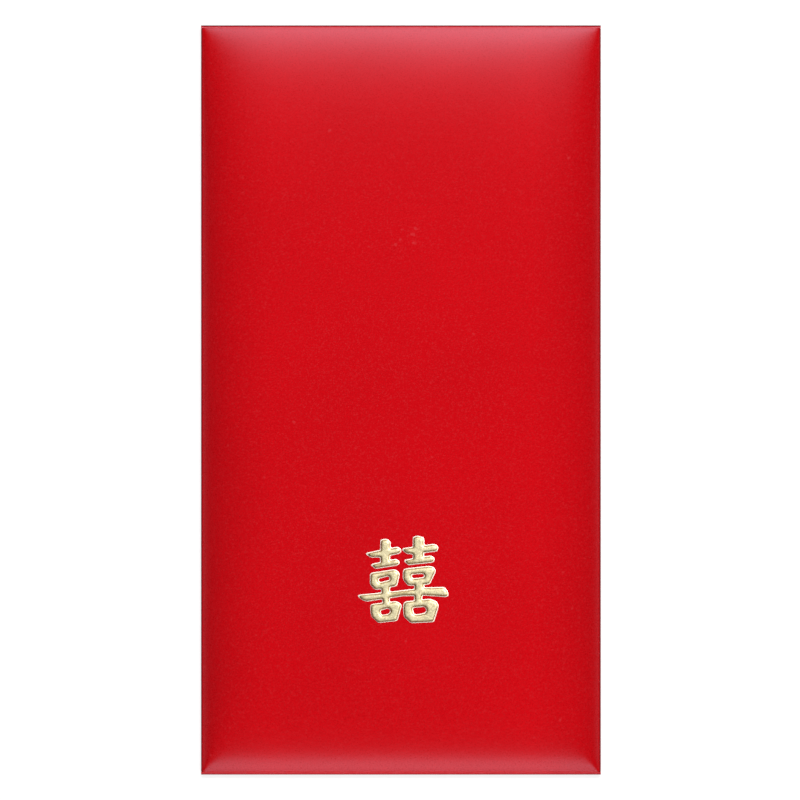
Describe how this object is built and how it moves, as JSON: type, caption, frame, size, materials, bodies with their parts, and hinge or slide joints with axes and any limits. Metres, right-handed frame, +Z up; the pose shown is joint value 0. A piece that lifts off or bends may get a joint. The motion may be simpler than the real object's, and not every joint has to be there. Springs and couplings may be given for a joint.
{
  "type": "red gift envelope",
  "caption": "Long red paper gift envelope with a softly crowned front, a raised gold foil wedding ornament low on the face, lapped glued back wings and a hinged closing flap.",
  "frame": {"origin": "centre of the footprint, on the surface that the envelope lies on with its front up", "axes": "+X across the width, +Y along the length towards the mouth and the top crease, +Z up out of the front"},
  "size_m": [0.088, 0.165, 0.0068],
  "materials": {
    "red_card": "satin",
    "gold_foil": "satin",
    "glue": "matte"
  },
  "bodies": {
    "envelope": {"front_panel": "red_card", "left_wing": "red_card", "right_wing": "red_card", "seam_glue": "glue", "bottom_flap": "red_card", "bottom_flap_glue": "glue", "top_crease": "red_card", "foil_left_upper": "gold_foil", "foil_right_upper": "gold_foil", "foil_joined_base": "gold_foil"},
    "flap": {"closing_flap": "red_card"}
  },
  "joints": [
    {"name": "closing_flap_hinge", "type": "hinge", "parent": "envelope", "child": "flap", "pos_m": [0, 0.0818, 0.0007], "axis": [1, 0, 0], "range_deg": [0, 180], "deforming": ["top_crease"]}
  ]
}
